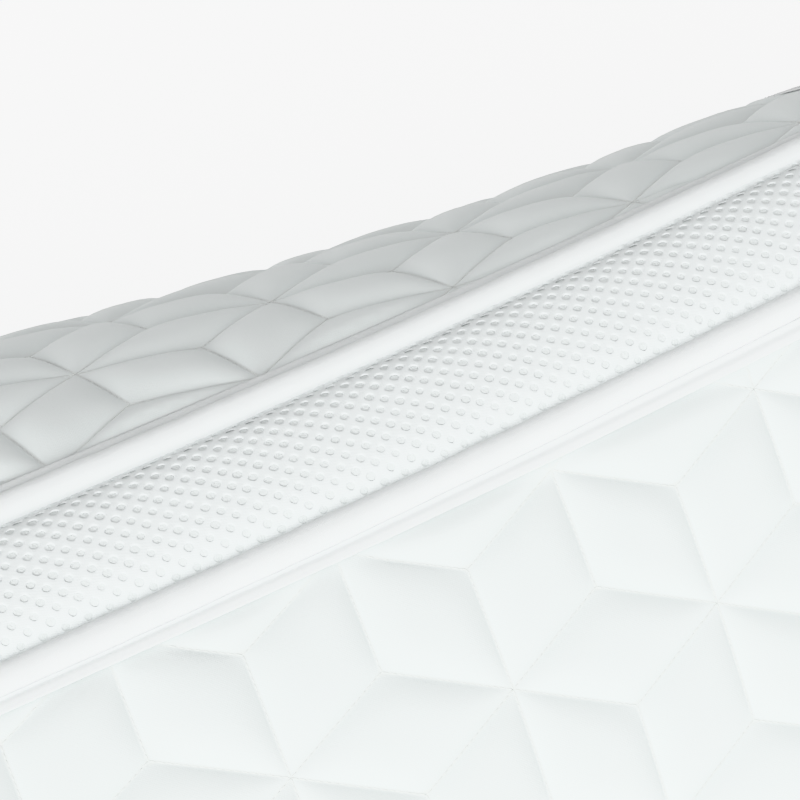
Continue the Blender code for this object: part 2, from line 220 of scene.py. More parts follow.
def ripple(a, b, size, seed):
    """Smooth repeatable unevenness between -1 and 1 over a cloth's own coordinates."""
    draw = np.random.default_rng(seed)
    total = 0
    for _ in range(6):
        turn, phase = draw.uniform(0, 2 * math.pi, 2)
        pitch = size * draw.uniform(0.6, 1.5)
        total = total + np.sin((a * math.cos(turn) + b * math.sin(turn)) * 2 * math.pi / pitch + phase)
    return total / 6


def edge_distance(y, drop):
    """How far a point of a panel lies inside its front, lower and rear edges."""
    length = panel_arc(y)[2]
    past_y = np.abs(y) - (PANEL_END_Y - CORNER_RADIUS)
    past_drop = drop - (length - CORNER_RADIUS)
    plain = np.minimum(length - drop, PANEL_END_Y - np.abs(y))
    corner = CORNER_RADIUS - np.hypot(np.maximum(past_y, 0), np.maximum(past_drop, 0))
    return np.where((past_y > 0) & (past_drop > 0), corner, plain)


# ---- making objects -------------------------------------------------------------------------------


def make_object(name, points, faces, body, material, maps=None):
    """An object from points and faces; maps holds a UV layer's values for each face corner."""
    data = bpy.data.meshes.new(name)
    data.from_pydata(points.tolist(), [], faces)
    data.validate()
    for layer, values in (maps or {}).items():
        data.uv_layers.new(name=layer).data.foreach_set("uv", np.asarray(values, np.float32).ravel())
    data.polygons.foreach_set("use_smooth", np.ones(len(data.polygons), bool))
    made = bpy.data.objects.new(name, data)
    bpy.context.scene.collection.objects.link(made)
    data.materials.append(material)
    if body:
        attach(made, body)
    return made


def outward(points, faces):
    """The faces turned so that a closed shape's faces point out."""
    some = np.asarray([f if len(f) == 4 else [*f, f[-1]] for f in faces])
    a, b, c, d = (points[some[:, k]] for k in range(4))
    total = np.einsum("ij,ij->i", a, np.cross(b, c) + np.cross(c, d)).sum()
    return faces if total > 0 else [f[::-1] for f in faces]


def grid_quads(m, n):
    """The numbers of an m by n grid's points, and its four-sided faces."""
    index = np.arange(m * n).reshape(m, n)
    quads = np.stack([index[:-1, :-1], index[1:, :-1], index[1:, 1:], index[:-1, 1:]], -1)
    return index, quads.reshape(-1, 4)


def shared_corners(points, faces, scale):
    """Points that lie in one place, to one part in scale, become one point."""
    places = np.round(points * scale).astype(int)
    _, first, where = np.unique(places, axis=0, return_index=True, return_inverse=True)
    return points[first], where.reshape(-1)[faces]


def trim(shape, cuts, nearness):
    """Cuts off a flat cloth past each line, given as a point on it and the way out."""
    for place, way in cuts:
        bmesh.ops.bisect_plane(
            shape,
            geom=shape.verts[:] + shape.edges[:] + shape.faces[:],
            dist=nearness,
            plane_co=(*place, 0),
            plane_no=(*way, 0),
            clear_outer=True,
        )


def grid_solid(name, us, vs, place, body, material):
    """A cloth with thickness from a grid: place(u, v, layer) gives points, layer 0 inside and 1 outside."""
    us, vs = np.asarray(us, float), np.asarray(vs, float)
    u, v = (g.ravel() for g in np.meshgrid(us, vs, indexing="ij"))
    points = np.concatenate([place(u, v, 0.0), place(u, v, 1.0)])
    above = len(us) * len(vs)
    index, quads = grid_quads(len(us), len(vs))
    rim = np.concatenate([index[:-1, 0], index[-1, :-1], index[:0:-1, -1], index[0, :0:-1]])
    after = np.roll(rim, -1)
    walls = np.stack([rim, after, after + above, rim + above], -1)
    faces = outward(points, np.concatenate([quads[:, ::-1], quads + above, walls]).tolist())
    flat = np.stack([np.tile(u, 2), np.tile(v, 2)], -1)
    return make_object(name, points, faces, body, material, {"cloth": flat[np.concatenate(faces)]})


# ---- finishes -------------------------------------------------------------------------------------


class Amount:
    """A number that varies over a surface; sums on it add Math nodes."""

    def __init__(self, finish, socket):
        self.finish = finish
        self.socket = socket

    def sum_with(self, operation, first, second=None):
        values = [first] if second is None else [first, second]
        return self.finish.node("ShaderNodeMath", {"operation": operation}, values)

    def __add__(self, other):
        return self.sum_with("ADD", self, other)

    __radd__ = __add__

    def __sub__(self, other):
        return self.sum_with("SUBTRACT", self, other)

    def __rsub__(self, other):
        return self.sum_with("SUBTRACT", other, self)

    def __mul__(self, other):
        return self.sum_with("MULTIPLY", self, other)

    __rmul__ = __mul__

    def wave(self):
        return self.sum_with("SINE", self)

    def size(self):
        return self.sum_with("ABSOLUTE", self)


class Finish:
    """A material built from nodes on one Principled shader."""

    def __init__(self, name, **fixed):
        self.material = bpy.data.materials.new(name)
        self.material.use_nodes = True
        self.tree = self.material.node_tree
        self.shader = self.tree.nodes["Principled BSDF"]
        for socket, value in fixed.items():
            self.shader.inputs[socket.replace("_", " ").title()].default_value = value

    def node(self, kind, settings=None, sockets=(), output=0):
        made = self.tree.nodes.new(kind)
        for name, value in (settings or {}).items():
            setattr(made, name, value)
        pairs = sockets.items() if isinstance(sockets, dict) else enumerate(sockets)
        for key, value in pairs:
            if isinstance(value, Amount):
                self.tree.links.new(value.socket, made.inputs[key])
            else:
                made.inputs[key].default_value = value
        return Amount(self, made.outputs[output])

    def feed(self, socket, amount):
        self.tree.links.new(amount.socket, self.shader.inputs[socket])

    def cloth(self, layer="cloth"):
        """The cloth's own coordinates in millimetres, along and across."""
        place = self.node("ShaderNodeUVMap", {"uv_map": layer})
        along = self.node("ShaderNodeSeparateXYZ", None, [place])
        across = Amount(self, along.socket.node.outputs[1])
        return place, along * 1000.0, across * 1000.0

    def noise(self, place, scale, detail=2.0, roughness=0.5):
        sockets = {"Vector": place, "Scale": scale, "Detail": detail, "Roughness": roughness}
        return self.node("ShaderNodeTexNoise", None, sockets)

    def between(self, factor, low, high):
        """A colour from low to high, which are colours or what already varies in colour."""
        low, high = (c if isinstance(c, Amount) else (*c, 1) for c in (low, high))
        sockets = {"Factor": factor, 6: low, 7: high}
        return self.node("ShaderNodeMix", {"data_type": "RGBA", "clamp_factor": True}, sockets, 2)

    def relief(self, height, distance, strength=1.0):
        sockets = {"Height": height, "Distance": distance, "Strength": strength}
        self.feed("Normal", self.node("ShaderNodeBump", None, sockets))


def plain_weave(along, across, pitch):
    """Threads over and under each other, from 0 to 1."""
    warp = (along * (math.pi / pitch)).wave()
    weft = (across * (math.pi / pitch)).wave()
    return (warp * weft) * 0.5 + 0.5


def cover_finish():
    f = Finish("cover_cotton", roughness=0.82, sheen_weight=0.25, sheen_roughness=0.5)
    place, along, across = f.cloth()
    threads = plain_weave(along, across, 0.55)
    fuzz = f.noise(place, 900.0, 3.0, 0.6)
    soft = f.noise(place, 24.0, 2.0)
    tone = f.between(soft * 0.7 + fuzz * 0.3, (0.815, 0.855, 0.848), (0.855, 0.89, 0.885))
    # Painted shade and dust: within about a millimetre of each quilting stitch line the cloth is darkened
    # and warmed towards a yellowish brown. This stands in for the shade in the stitched creases as well as
    # for dust in them.
    _, away, _ = f.cloth("stitch")
    crease = 1 - (away * 1.1).sum_with("MINIMUM", away * 1.1, 1.0)
    f.feed("Base Color", f.between(crease * 0.2, tone, (0.74, 0.735, 0.69)))
    f.feed("Roughness", fuzz * 0.12 + 0.76)
    f.relief(threads * 0.25 + fuzz * 0.9 + soft * 0.4, 0.00018, 0.6)
    return f.material


def lining_finish():
    f = Finish("lining_brushed", roughness=0.9, sheen_weight=0.35, sheen_roughness=0.6)
    place, along, across = f.cloth()
    nap = f.noise(place, 1400.0, 4.0, 0.7)
    patchy = f.noise(place, 40.0, 2.0)
    f.feed("Base Color", f.between(nap * 0.5 + patchy * 0.5, (0.76, 0.78, 0.78), (0.86, 0.87, 0.87)))
    f.feed("Roughness", nap * 0.1 + 0.85)
    f.relief(nap + plain_weave(along, across, 0.8) * 0.3, 0.00025, 0.7)
    return f.material


def wadding_finish():
    f = Finish("wadding_fibre", roughness=0.95, sheen_weight=0.3)
    place, _, _ = f.cloth()
    fibre = f.noise(place, 700.0, 6.0, 0.75)
    f.feed("Base Color", f.between(fibre, (0.82, 0.82, 0.79), (0.93, 0.93, 0.91)))
    f.relief(fibre, 0.0006, 0.8)
    return f.material


def knit_finish():
    f = Finish("mesh_knit", roughness=0.7, sheen_weight=0.2)
    place, along, across = f.cloth()
    loops = ((along * 7.0).wave() * (across * 9.5 + along * 2.0).wave()) * 0.5 + 0.5
    fibre = f.noise(place, 1600.0, 3.0, 0.6)
    tone = f.between(loops * 0.45 + fibre * 0.55, (0.86, 0.90, 0.90), (0.94, 0.965, 0.965))
    f.feed("Base Color", tone)
    f.feed("Roughness", fibre * 0.2 + 0.58)
    f.relief(loops * 0.5 + fibre, 0.0002, 0.7)
    return f.material


def core_finish():
    f = Finish("mesh_core", roughness=0.8)
    place, _, _ = f.cloth()
    yarn = f.noise(place, 1100.0, 4.0, 0.7)
    patchy = f.noise(place, 120.0, 2.0)
    f.feed("Base Color", f.between(yarn * 0.6 + patchy * 0.4, (0.80, 0.835, 0.83), (0.90, 0.93, 0.925)))
    f.relief(yarn, 0.0005, 0.9)
    return f.material


def ribbon_finish(name, pitch, low, high, roughness, relief):
    """A close-woven ribbon with ribs across it."""
    f = Finish(name, roughness=roughness, sheen_weight=0.12, sheen_roughness=0.35)
    place, along, across = f.cloth()
    ribs = (along * (2 * math.pi / pitch)).wave() * 0.5 + 0.5
    threads = plain_weave(along, across, 0.5)
    dust = f.noise(place, 60.0, 3.0)
    fibre = f.noise(place, 1500.0, 2.0)
    f.feed("Base Color", f.between(dust * 0.6 + fibre * 0.4, low, high))
    f.feed("Roughness", fibre * 0.15 + (roughness - 0.07))
    f.relief(ribs * relief + threads * 0.3 + fibre * 0.4, 0.00015, 0.6)
    return f.material


def webbing_finish():
    f = Finish("webbing_rib", roughness=0.62, sheen_weight=0.1)
    place, along, across = f.cloth()
    tooth = (along * (math.pi / 1.1)).wave().size()
    slant = (across * (2 * math.pi / 2.4) + tooth * 1.2).wave() * 0.5 + 0.5
    fibre = f.noise(place, 1200.0, 3.0)
    f.feed("Base Color", f.between(slant * 0.4 + fibre * 0.6, (0.79, 0.80, 0.80), (0.90, 0.91, 0.91)))
    f.feed("Roughness", fibre * 0.2 + 0.52)
    f.relief(slant + tooth * 0.6 + fibre * 0.4, 0.0003, 0.8)
    return f.material


def pile_finish():
    f = Finish("hook_and_loop_pile", roughness=0.9, sheen_weight=0.4)
    place, _, _ = f.cloth()
    tufts = f.node("ShaderNodeTexVoronoi", {"feature": "F1"}, {"Vector": place, "Scale": 900.0})
    fuzz = f.noise(place, 2200.0, 4.0, 0.7)
    f.feed("Base Color", f.between(tufts * 0.7 + fuzz * 0.4, (0.84, 0.84, 0.85), (0.66, 0.66, 0.67)))
    f.relief(fuzz - tufts, 0.0006, 0.9)
    return f.material


def thread_finish():
    f = Finish("sewing_thread", roughness=0.5, sheen_weight=0.1)
    _, along, across = f.cloth()
    ply = (along * 9.0 + across * 6.0).wave() * 0.5 + 0.5
    f.feed("Base Color", f.between(ply, (0.84, 0.86, 0.84), (0.91, 0.93, 0.92)))
    f.relief(ply, 0.0001, 0.6)
    return f.material


def cord_finish():
    f = Finish("piping_cord", roughness=0.85)
    place = f.node("ShaderNodeTexCoord", None, (), 3)
    sockets = {"Vector": place, "Scale": 160.0, "Distortion": 0.6}
    strands = f.node("ShaderNodeTexWave", {"bands_direction": "DIAGONAL"}, sockets)
    f.feed("Base Color", f.between(strands, (0.78, 0.77, 0.73), (0.92, 0.91, 0.88)))
    f.relief(strands, 0.0008, 0.8)
    return f.material


COVER = cover_finish()
LINING = lining_finish()
WADDING = wadding_finish()
KNIT = knit_finish()
CORE = core_finish()
TAPE = ribbon_finish("seam_tape_weave", 0.8, (0.88, 0.905, 0.905), (0.93, 0.95, 0.95), 0.5, 0.08)
BINDING = ribbon_finish("binding_grosgrain", 1.4, (0.85, 0.86, 0.865), (0.93, 0.935, 0.94), 0.6, 1.0)
WEBBING = webbing_finish()
PILE = pile_finish()
THREAD = thread_finish()
CORD = cord_finish()

# ---- quilting -------------------------------------------------------------------------------------


def quilt_places(y, drop, start):
    """Where points lie in the quilting: each one's block and its two coordinates in it, 0 to 1."""
    basis = np.array([WIDE, TALL])
    flat = np.stack([y, drop], -1) - start
    lattice = flat @ np.linalg.inv(basis)
    best = None
    for di in (0, 1):
        for dj in (0, 1):
            corner = np.floor(lattice) + [di, dj]
            offset = flat - corner @ basis
            far = (offset**2).sum(-1)
            if best is None:
                best, near = far, offset.copy()
            else:
                closer = far < best
                best = np.where(closer, far, best)
                near = np.where(closer[:, None], offset, near)
    a = np.full(len(y), -1.0)
    b = np.full(len(y), -1.0)
    for k in range(6):
        ab = near @ np.linalg.inv(np.array([ARMS[k], ARMS[(k + 1) % 6]]))
        inside = (ab > -1e-7).all(-1) & (a < -0.5)
        a = np.where(inside, ab[:, 0], a)
        b = np.where(inside, ab[:, 1], b)
    return a, b


def puff_height(a, b):
    """How full a block is, from 0 on its stitch lines to 1 in its middle."""
    u = np.clip(np.abs(2 * a - 1), 0, 1)
    v = np.clip(np.abs(2 * b - 1), 0, 1)
    return ((1 - u**3) * (1 - v**3)) ** 0.85


def sewn_down(y, drop):
    """1 where a strap or the loop's ends are sewn through the panel, 0 elsewhere."""
    length = panel_arc(y)[2]
    strap = 1 - smooth(np.maximum(np.abs(y - STRAP_Y) - STRAP_WIDTH / 2, 0), 0.002, 0.014)
    tab_end = STRAP_FOLD_DROP - STRAP_TAB_LENGTH
    sewn_end = STRAP_FOLD_DROP + STRAP_SEWN_LENGTH
    strap = strap * smooth(drop, tab_end - 0.012, tab_end) * (1 - smooth(drop, sewn_end, sewn_end + 0.014))
    middle = length - LOOP_ABOVE_EDGE
    foot = LOOP_GIRTH_WIDTH / 2 + LOOP_RAMP
    end = foot + LOOP_SEWN_END
    loop = 1 - smooth(np.abs(drop - middle) - LOOP_WEBBING_WIDTH / 2, 0.002, 0.012)
    loop = loop * (1 - smooth(np.abs(y) - end, 0.0, 0.012)) * smooth(np.abs(y), foot - 0.012, foot)
    return np.clip(np.maximum(strap, loop), 0, 1)


def panel_face(y, drop, side, inner=False):
    """How far the cover, or the lining, stands off the panel's middle."""
    a, b = quilt_places(y, drop, BLOCK_START[side])
    full = puff_height(a, b)
    past_tape = drop - (CORD_RADIUS + TAPE_LEG - 0.0002)
    free = np.minimum(past_tape, edge_distance(y, drop) - BINDING_LEG - 0.0004)
    open_part = smooth(free, 0.0, 0.0055)
    if inner:
        quilted = -LINING_VALLEY - LINING_PUFF * full
        return -HALF_PRESSED + (quilted + HALF_PRESSED) * open_part
    held = sewn_down(y, drop)
    puckers = ripple(y, drop, 0.020, 3 + side) * 0.00018 + ripple(y, drop, 0.055, 8 + side) * 0.00035
    quilted = VALLEY + PUFF * full * (1 + 0.10 * ripple(y, drop, 0.09, 21 + side)) + puckers * full
    quilted = np.where(held > 0, quilted + (np.minimum(quilted, 0.0046) - quilted) * held, quilted)
    pulled = SEAM_CREASE * (1 - smooth(drop, CORD_RADIUS + 0.6 * TAPE_LEG, CORD_RADIUS + TAPE_LEG))
    pressed = HALF_PRESSED - 0.0001 - pulled
    return pressed + (quilted - pressed) * open_part


def block_corners(side, past, lowest):
    """The quilting's six-way corners on a panel and a little past it."""
    steps = range(-MOST_BLOCKS, MOST_BLOCKS + 1)
    corners = (BLOCK_START[side] + i * WIDE + j * TALL for i in steps for j in steps)
    return [c for c in corners if abs(c[0]) <= PANEL_END_Y + past and -past < c[1] < lowest]


def block_steps(count):
    """Grid lines across a block, closer together beside its stitch lines."""
    t = np.linspace(-1, 1, count + 1)
    return 0.5 + 0.5 * np.sign(t) * (1 - (1 - np.abs(t)) ** 1.55)


def quilt_sheet(side, count):
    """The flat quilted cloth, cut to the panel's outline: (y, drop) points and faces on the stitch lines."""
    mean = float(panel_arc(0.0)[2])
    steps = block_steps(count)
    a, b = (g.ravel() for g in np.meshgrid(steps, steps, indexing="ij"))
    quads = grid_quads(count + 1, count + 1)[1]
    points, faces = [], []
    for corner in block_corners(side, 0.1, mean + 0.14):
        for one, two in ((DOWN, FALLING), (FALLING, RISING), (RISING, -DOWN)):
            faces.append(quads + len(points) * len(a))
            points.append(corner + a[:, None] * one + b[:, None] * two)
    points, faces = shared_corners(np.concatenate(points), np.concatenate(faces), 1e6)
    along, down = points.T
    inside = (np.abs(along) < PANEL_END_Y + 0.01) & (down > PANEL_TOP - 0.01) & (down < mean + 0.04)
    faces = faces[inside[faces].all(-1)]
    shape = bmesh.new()
    made = {k: shape.verts.new((*points[k], 0)) for k in np.unique(faces).tolist()}
    for face in faces.tolist():
        shape.faces.new([made[k] for k in face])
    # the panel's arc length changes along it, so the cloth is scaled down the panel to one length
    for corner in shape.verts:
        length = float(panel_arc(corner.co.x)[2])
        corner.co.y = PANEL_TOP + (corner.co.y - PANEL_TOP) * (mean - PANEL_TOP) / (length - PANEL_TOP)
    cuts = [((PANEL_END_Y, 0), (1, 0)), ((-PANEL_END_Y, 0), (-1, 0))]
    cuts += [((0, PANEL_TOP), (0, -1)), ((0, mean), (0, 1))]
    for end in (1, -1):
        middle = (end * (PANEL_END_Y - CORNER_RADIUS), mean - CORNER_RADIUS)
        for degrees in (13, 26, 39, 51, 64, 77):
            way = (end * math.cos(math.radians(degrees)), math.sin(math.radians(degrees)))
            cuts.append(((middle[0] + way[0] * CORNER_RADIUS, middle[1] + way[1] * CORNER_RADIUS), way))
    trim(shape, cuts, 1e-6)
    bmesh.ops.remove_doubles(shape, verts=shape.verts[:], dist=2e-5)
    shape.verts.index_update()
    flat = np.array([v.co[:2] for v in shape.verts])
    lengths = panel_arc(flat[:, 0])[2]
    flat[:, 1] = PANEL_TOP + (flat[:, 1] - PANEL_TOP) * (lengths - PANEL_TOP) / (mean - PANEL_TOP)
    faces = [[v.index for v in face.verts] for face in shape.faces]
    walls = []
    for edge in shape.edges:
        if len(edge.link_faces) != 1:
            continue
        one, two = (v.index for v in edge.verts)
        order = [v.index for v in edge.link_faces[0].verts]
        walls.append((one, two) if order[(order.index(one) + 1) % len(order)] == two else (two, one))
    shape.free()
    return flat, faces, walls


def quilted_solid(name, side, count, low, high, body, material):
    """A layer of the panel between two heights over the quilted cloth."""
    flat, faces, walls = quilt_sheet(side, count)
    y, drop = flat.T
    points = np.concatenate([panel_place(y, drop, face(y, drop), side) for face in (low, high)])
    n = len(flat)
    shell = [face[::-1] for face in faces] + [[k + n for k in face] for face in faces]
    shell += [[one, two, two + n, one + n] for one, two in walls]
    a, b, c = (points[[f[k] for f in shell]] for k in (0, 1, 2))
    if np.einsum("ij,ij->i", a, np.cross(b, c)).sum() < 0:
        shell = [face[::-1] for face in shell]
    double = np.concatenate([flat, flat])
    order = np.concatenate([np.asarray(face) for face in shell])
    sizes = [len(face) for face in shell]
    middles = np.add.reduceat(double[order], np.cumsum([0, *sizes[:-1]]), axis=0) / np.array(sizes)[:, None]
    inward = np.repeat(middles, sizes, axis=0)
    corner = double[order] + (inward - double[order]) * 1e-4
    pa, pb = quilt_places(corner[:, 0], corner[:, 1], BLOCK_START[side])
    # The 'stitch' map holds each corner's distance from the nearest stitch line. The cover uses it for its
    # painted crease shade and dust.
    away = np.minimum(np.minimum(pa, 1 - pa), np.minimum(pb, 1 - pb)) * BLOCK_EDGE * math.sin(math.pi / 3)
    maps = {"cloth": double[order], "stitch": np.stack([np.clip(away, 0, None), np.zeros(len(away))], -1)}
    return make_object(name, points, shell, body, material, maps)


# ---- threads --------------------------------------------------------------------------------------


def stitches(name, starts, ends, outs, body, thick=0.00017, rise=0.00018):
    """One sewn stitch of thread from each start to its end, bowed outwards."""
    starts, ends, outs = (np.asarray(v, float) for v in (starts, ends, outs))
    along = unit(ends - starts)
    side = unit(np.cross(along, outs))
    rings, around = 4, 5
    points = []
    for ring in range(rings):
        t = ring / (rings - 1)
        swell = 0.45 + 0.55 * math.sin(math.pi * t)
        middle = starts + (ends - starts) * t + outs * (rise * (math.sin(math.pi * t) * 1.2 - 0.35))
        for k in range(around):
            turn = 2 * math.pi * k / around
            points.append(middle + (side * math.cos(turn) + outs * math.sin(turn)) * thick * swell)
    points = np.stack(points, 1)
    per = rings * around
    faces = []
    for ring in range(rings - 1):
        for k in range(around):
            after = (k + 1) % around
            here, beyond = ring * around, (ring + 1) * around
            faces.append([here + k, here + after, beyond + after, beyond + k])
    caps = [list(range(around))[::-1], list(range(per - around, per))]
    n = len(starts)
    quads = (np.array(faces)[None] + (np.arange(n) * per)[:, None, None]).reshape(-1, 4).tolist()
    ends_faces = [[k + i * per for k in cap] for i in range(n) for cap in caps]
    flat = points.reshape(-1, 3)
    every = quads + ends_faces
    across = np.tile(np.repeat([0.0, 0.001, 0.002, 0.003], around), n)
    round_it = np.tile(np.tile(np.arange(around) * 0.0003, rings), n)
    maps = {"cloth": np.stack([across, round_it], -1)[np.concatenate([np.asarray(f) for f in every])]}
    return make_object(name, flat, every, body, THREAD, maps)


def seam_stitches(path, outs, pitch, length):
    """Starts, ends and outward directions of stitches along a path of points."""
    path, outs = np.asarray(path), np.asarray(outs)
    run = run_along(path)
    at = np.arange(pitch / 2, run[-1] - length, pitch)

    def read(values, where):
        return np.stack([np.interp(where, run, values[:, k]) for k in range(3)], -1)

    return read(path, at), read(path, at + length), unit(read(outs, at + length / 2))


def join_runs(runs):
    """Several seams' stitches as one set."""
    return tuple(np.concatenate(parts) for parts in zip(*runs))


def quilt_stitches(hand, side):
    """Stitches along every line of the quilting."""
    count = int(BLOCK_EDGE / QUILT_STITCH)
    share = (np.arange(count) + 0.5) / count
    half = 0.44 * BLOCK_EDGE / count
    one, two = [], []
    for corner in block_corners(side, 0.06, 0.56):
        for arm in ARMS:
            way = arm / BLOCK_EDGE
            middle = corner + share[:, None] * arm
            one.append(middle - way * half)
            two.append(middle + way * half)
    one, two = np.concatenate(one), np.concatenate(two)
    middle = (one + two) / 2
    past_tape = middle[:, 1] - CORD_RADIUS - TAPE_LEG - 0.001
    free = np.minimum(past_tape, edge_distance(*middle.T) - BINDING_LEG - 0.001)
    keep = (free > 0.0006) & (np.abs(middle[:, 0]) < PANEL_END_Y)
    one, two, middle = one[keep], two[keep], middle[keep]
    lift = panel_face(middle[:, 0], middle[:, 1], side) + 0.00015
    starts = panel_place(one[:, 0], one[:, 1], lift, side)
    ends = panel_place(two[:, 0], two[:, 1], lift, side)
    outs = panel_axes(middle[:, 0], middle[:, 1], side)[2]
    return stitches("quilting_thread_" + hand, starts, ends, outs, hand + "_panel", 0.00016, 0.00012)


# ---- panels ---------------------------------------------------------------------------------------


def make_panel(hand, side):
    """The quilted cover, the wadding filling and the lining, with the quilting thread."""
    body = hand + "_panel"
    fine, medium, coarse = ((14, 8, 6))

    def outer(y, drop):
        return panel_face(y, drop, side)

    def inner(y, drop):
        return panel_face(y, drop, side, inner=True)

    name = "quilted_cover_cloth_" + hand
    cover = quilted_solid(name, side, fine, lambda y, d: outer(y, d) - CLOTH, outer, body, COVER)
    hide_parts("quilted_cover_" + hand)
    filling = quilted_solid(
        "wadding_filling_" + hand,
        side,
        coarse,
        lambda y, d: inner(y, d) + CLOTH + CLEARANCE,
        lambda y, d: np.maximum(outer(y, d) - CLOTH - CLEARANCE, inner(y, d) + CLOTH + 2 * CLEARANCE),
        body,
        WADDING,
    )
    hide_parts("wadding_" + hand)
    name = "lining_cloth_" + hand
    lining = quilted_solid(name, side, medium, inner, lambda y, d: inner(y, d) + CLOTH, body, LINING)
    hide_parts("lining_" + hand)
    width, length = 2 * PANEL_END_Y, float(panel_arc(0.0)[2]) - PANEL_TOP
    thread = quilt_stitches(hand, side)


def tape_section(row, layer):
    """The tape's section as distances along the panel and out of it; row runs from 0 to 1."""
    inner = CORD_RADIUS + CLEARANCE
    mouth = math.asin(GRIP / inner)
    leg = 0.16
    radius = inner + layer * TAPE_THICKNESS
    turn = mouth + np.clip((row - leg) / (1 - 2 * leg), 0, 1) * 2 * (math.pi - mouth)
    along = radius * np.cos(turn)
    up = radius * np.sin(turn)
    out = np.clip((leg - np.minimum(row, 1 - row)) / leg, 0, 1)
    crease = SEAM_CREASE * np.exp(-(((out - 0.42) / 0.10) ** 2)) - 0.0004 * smooth(out, 0.5, 0.7)
    level = (GRIP - crease + layer * TAPE_THICKNESS) * np.where(row < 0.5, 1, -1)
    flat = smooth(out, 0.0, 0.2)
    along = np.where(out > 0, inner * math.cos(mouth) + TAPE_LEG * out, along)
    up = np.where(out > 0, up + (level - up) * flat, up)
    return along, up


def make_tape(hand, side):
    """The seam tape, rounded over its cord, with its flat leg stitched to the panel."""
    body = hand + "_panel"
    step = 0.0015
    ys = np.linspace(-TAPE_END_Y, TAPE_END_Y, int(2 * TAPE_END_Y / step))
    legs = np.linspace(0, 0.16, 13)
    rows = np.concatenate([legs[:-1], np.linspace(0.16, 0.84, 33), 1 - legs[-2::-1]])

    def place(y, row, layer):
        along, up = tape_section(row, layer)
        slope = panel_arc(y)[0]
        growth = 0.05 + 0.18 * smooth(-y, -0.15, 0.15)
        uneven = ripple(y, row * 0.03, 0.045, 40 + side) * 0.00016
        uneven = uneven + ripple(y, row * 0.03, 0.013, 50 + side) * 0.00006
        leg = np.minimum(row, 1 - row) < 0.15
        dip = np.where(leg, 0.00010 * np.sin(y * 2 * math.pi / 0.003), 0)
        swell = 1 + np.where(leg, 0, growth + uneven * 2 / TAPE_RADIUS)
        centre = panel_place(y, 0 * y, 0 * y, side)
        out = np.stack([side * np.sin(slope), 0 * y, np.cos(slope)], -1)
        way = np.stack([side * np.cos(slope), 0 * y, -np.sin(slope)], -1)
        along = np.where(leg, along, along * swell + growth * TAPE_RADIUS)
        up = np.where(up > 0, up * swell, up)
        far = np.maximum(along, 0)
        bend = -(far**2) / 2 / panel_arc(y)[1]
        return centre + way * along[:, None] + out * (up + bend + dip * np.sign(up))[:, None]

    tape = grid_solid("seam_tape_cloth_" + hand, ys, rows, place, body, TAPE)
    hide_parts("seam_tape_" + hand)
    runs = []
    fine = np.linspace(-TAPE_END_Y + 0.002, TAPE_END_Y - 0.002, 400)
    for face in (1, -1):
        along = CORD_RADIUS + TAPE_LEG * 0.16
        lift = face * (GRIP - SEAM_CREASE + TAPE_THICKNESS + 0.0001)
        path = panel_place(fine, along, lift, side)
        outs = panel_axes(fine, np.full(len(fine), along), side)[2] * face
        runs.append(seam_stitches(path, outs, *SEAM_STITCH))
    thread = stitches("seam_tape_thread_" + hand, *join_runs(runs), body)
    cord = bpy.data.objects["filler_cord_" + hand]
    cord.data.materials.clear()
    cord.data.materials.append(CORD)


FOLD_LEG = 0.30  # the share of a folded cloth's rows that each leg takes
FOLD_ROWS = np.concatenate([[0, 0.1, 0.2], np.linspace(FOLD_LEG, 1 - FOLD_LEG, 9), [0.8, 0.9, 1.0]])


def wrap_section(row, layer, half_gap, thickness, leg):
    """A cloth folded round an edge: row runs from 0 to 1, a leg, a rounded nose and a leg."""
    reach = half_gap + layer * thickness
    share = FOLD_LEG
    turn = math.pi / 2 - np.clip((row - share) / (1 - 2 * share), 0, 1) * math.pi
    back = np.clip((share - np.minimum(row, 1 - row)) / share, 0, 1)
    return np.where(back > 0, -leg * back, reach * np.cos(turn)), reach * np.sin(turn)


def edge_path(step):
    """Round the panel's free edge: y, drop and the way out as an angle from forwards."""
    front_length = float(panel_arc(PANEL_END_Y)[2])
    rear_length = float(panel_arc(-PANEL_END_Y)[2])
    first = -SEWN_UNDER
    down = np.arange(first, front_length - CORNER_RADIUS, step)
    parts = [np.stack([np.full(len(down), PANEL_END_Y), down, np.zeros(len(down))], -1)]
    turns = np.linspace(0, math.pi / 2, max(6, int(CORNER_RADIUS * math.pi / 2 / step)))
    y = PANEL_END_Y - CORNER_RADIUS * (1 - np.cos(turns))
    parts.append(np.stack([y, panel_arc(y)[2] - CORNER_RADIUS * (1 - np.sin(turns)), turns], -1))
    y = np.arange(PANEL_END_Y - CORNER_RADIUS - step, -PANEL_END_Y + CORNER_RADIUS, -step)
    parts.append(np.stack([y, panel_arc(y)[2], np.full(len(y), math.pi / 2)], -1))
    y = -PANEL_END_Y + CORNER_RADIUS * (1 - np.sin(turns))
    drop = panel_arc(y)[2] - CORNER_RADIUS * (1 - np.cos(turns))
    parts.append(np.stack([y, drop, math.pi / 2 + turns], -1))
    up = np.arange(rear_length - CORNER_RADIUS - step, first, -step)
    parts.append(np.stack([np.full(len(up), -PANEL_END_Y), up, np.full(len(up), math.pi)], -1))
    return np.concatenate(parts)


